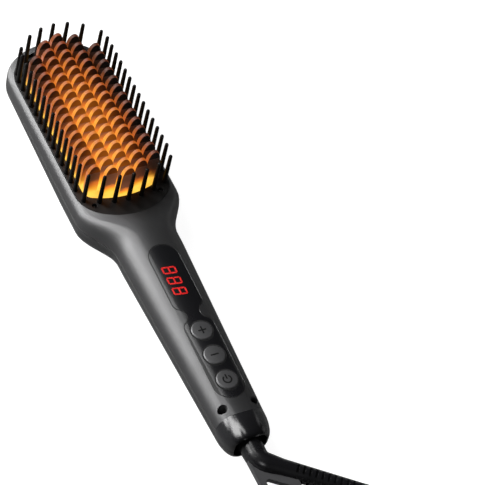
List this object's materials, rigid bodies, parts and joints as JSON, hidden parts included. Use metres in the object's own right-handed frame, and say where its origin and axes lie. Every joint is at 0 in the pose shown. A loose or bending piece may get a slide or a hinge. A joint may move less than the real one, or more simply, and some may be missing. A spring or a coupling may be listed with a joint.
{
  "type": "hair straightening brush",
  "caption": "Heated straightening brush: flat oval head with arched heated teeth and guard pins, slim grip with display and push buttons, swivelling cord boot with hanging loop.",
  "frame": {"origin": "on the flat of the back, on the centre line, where the neck meets the head", "axes": "+Y along the brush from cord to head tip, +Z out of the back the way the teeth point, +X to the right seen from the front"},
  "size_m": [0.0897, 0.3479, 0.0465],
  "materials": {
    "casing": "satin",
    "frame": "matte",
    "comb": "satin ceramic coat",
    "caps": "matte",
    "panel": "gloss",
    "buttons": "satin",
    "cap_gloss": "gloss",
    "boot": "matte",
    "loop": "matte",
    "steel": "satin",
    "brass": "bright",
    "ceramic": "matte ceramic",
    "shield": "mill",
    "board": "satin",
    "black_parts": "matte",
    "display": "gloss",
    "film": "satin",
    "inner_white": "satin",
    "leads": "satin"
  },
  "bodies": {
    "brush": {"front_shell": "casing", "rear_shell": "casing", "bristle_frame": "frame", "guard_pins": "frame", "heated_comb": "comb", "comb_teeth": "comb", "tooth_caps": "caps", "control_panel": "panel", "display_module": "display", "switch_bodies": "steel", "main_board": "board", "board_screws": "steel", "film_capacitor": "film", "triac": "black_parts", "casing_screws": "steel", "end_cap": "cap_gloss", "contact_carrier": "black_parts", "contact_springs": "brass", "ceramic_heaters": "ceramic", "heater_springs": "steel", "heat_shield": "shield", "shield_screws": "steel", "thermistor": "inner_white", "thermal_fuse": "steel", "ion_generator": "inner_white", "ion_needles": "inner_white", "heater_leads": "leads", "mains_leads": "leads"},
    "plus_key": {"plus_button": "buttons", "plus_plunger": "black_parts"},
    "minus_key": {"minus_button": "buttons", "minus_plunger": "black_parts"},
    "power_key": {"power_button": "buttons", "power_plunger": "black_parts"},
    "cord_outlet": {"cord_boot": "boot", "hang_loop": "loop", "swivel_core": "inner_white", "slip_rings": "brass"}
  },
  "joints": [
    {"name": "plus_press", "type": "slide", "parent": "brush", "child": "plus_key", "axis": [0, 0, -1], "range_m": [0, 0.0006], "stiffness_N_per_m": 1500, "springref_m": -0.0004},
    {"name": "minus_press", "type": "slide", "parent": "brush", "child": "minus_key", "axis": [0, 0, -1], "range_m": [0, 0.0006], "stiffness_N_per_m": 1500, "springref_m": -0.0004},
    {"name": "power_press", "type": "slide", "parent": "brush", "child": "power_key", "axis": [0, 0, -1], "range_m": [0, 0.0006], "stiffness_N_per_m": 1500, "springref_m": -0.0004},
    {"name": "cord_swivel", "type": "hinge", "parent": "brush", "child": "cord_outlet", "pos_m": [0, -0.166, 0.0125], "axis": [0, 1, 0], "continuous": true}
  ]
}
